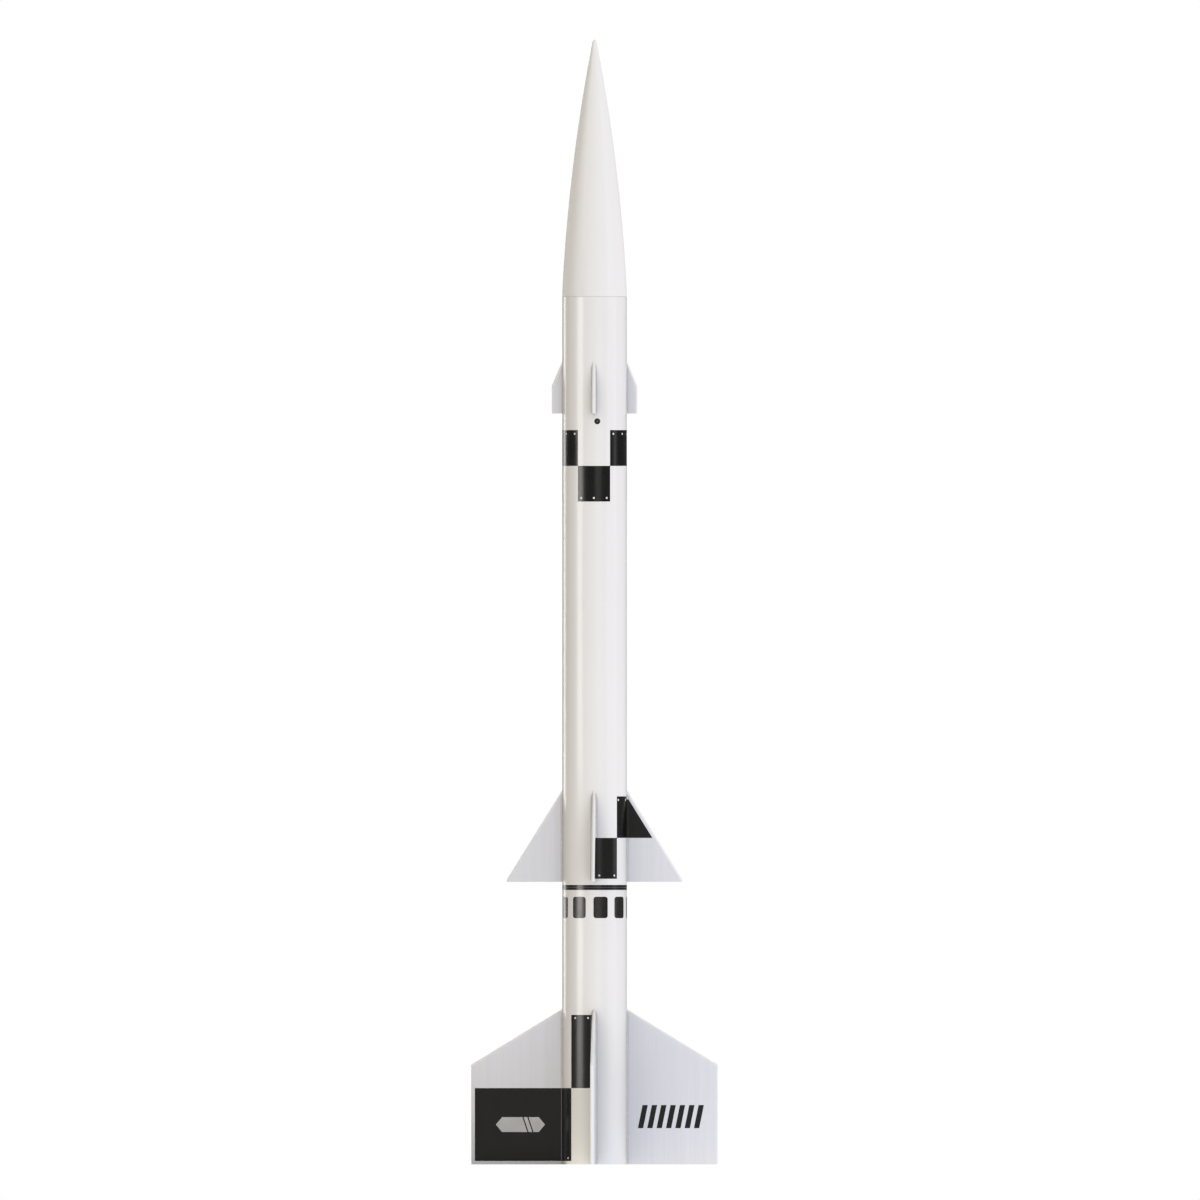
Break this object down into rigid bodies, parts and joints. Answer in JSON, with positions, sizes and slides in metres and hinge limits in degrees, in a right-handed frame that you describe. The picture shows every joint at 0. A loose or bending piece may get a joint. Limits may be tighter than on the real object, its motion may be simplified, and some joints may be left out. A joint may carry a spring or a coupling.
{
  "type": "model rocket",
  "caption": "Slender finned model rocket with a pull-off ogive nose cone, paper body tubes, canards, delta and base fins, engine mount with spring hook, and a packed parachute.",
  "frame": {"origin": "on the rocket's axis, in the plane of the lower fins' trailing edges that it stands on", "axes": "+Z along the axis to the nose tip, +X to the right-hand fins, -Y to the front fins"},
  "size_m": [0.1592, 0.1592, 0.7261],
  "materials": {
    "nose_plastic": "satin",
    "painted_tube": "gloss",
    "painted_balsa": "satin",
    "kraft_card": "matte",
    "grey_card": "matte",
    "film": "gloss",
    "paper": "matte",
    "spring_steel": "satin",
    "elastic": "matte",
    "canopy_cloth": "satin",
    "line_thread": "matte",
    "decal_black": "gloss",
    "decal_grey": "gloss"
  },
  "bodies": {
    "airframe": {"upper_body_tube": "painted_tube", "lower_body_tube": "painted_tube", "tube_coupler": "kraft_card", "canard_right": "painted_balsa", "canard_rear": "painted_balsa", "canard_left": "painted_balsa", "canard_front": "painted_balsa", "upper_fin_right": "painted_balsa", "upper_fin_rear": "painted_balsa", "upper_fin_left": "painted_balsa", "upper_fin_front": "painted_balsa", "lower_fin_right": "painted_balsa", "lower_fin_rear": "painted_balsa", "lower_fin_left": "painted_balsa", "lower_fin_front": "painted_balsa", "launch_lug_upper": "painted_tube", "launch_lug_lower": "painted_tube", "engine_tube": "kraft_card", "centring_ring_forward": "kraft_card", "centring_ring_aft": "kraft_card", "engine_block": "grey_card", "hook_retaining_ring": "film", "shock_cord_mount": "paper", "shock_cord": "elastic", "parachute": "canopy_cloth", "shroud_lines": "line_thread"},
    "nose": {"nose_cone": "nose_plastic", "nose_cone_plug": "nose_plastic"},
    "hook": {"engine_hook": "spring_steel"}
  },
  "joints": [
    {"name": "nose_pull", "type": "slide", "parent": "airframe", "child": "nose", "axis": [0, 0, 1], "range_m": [0, 0.04], "deforming": ["shock_cord"]},
    {"name": "hook_flex", "type": "hinge", "parent": "airframe", "child": "hook", "pos_m": [0.0132, 0, 0.0764], "axis": [0, -1, 0], "range_deg": [0, 3], "stiffness_Nm_per_rad": 1.1}
  ]
}
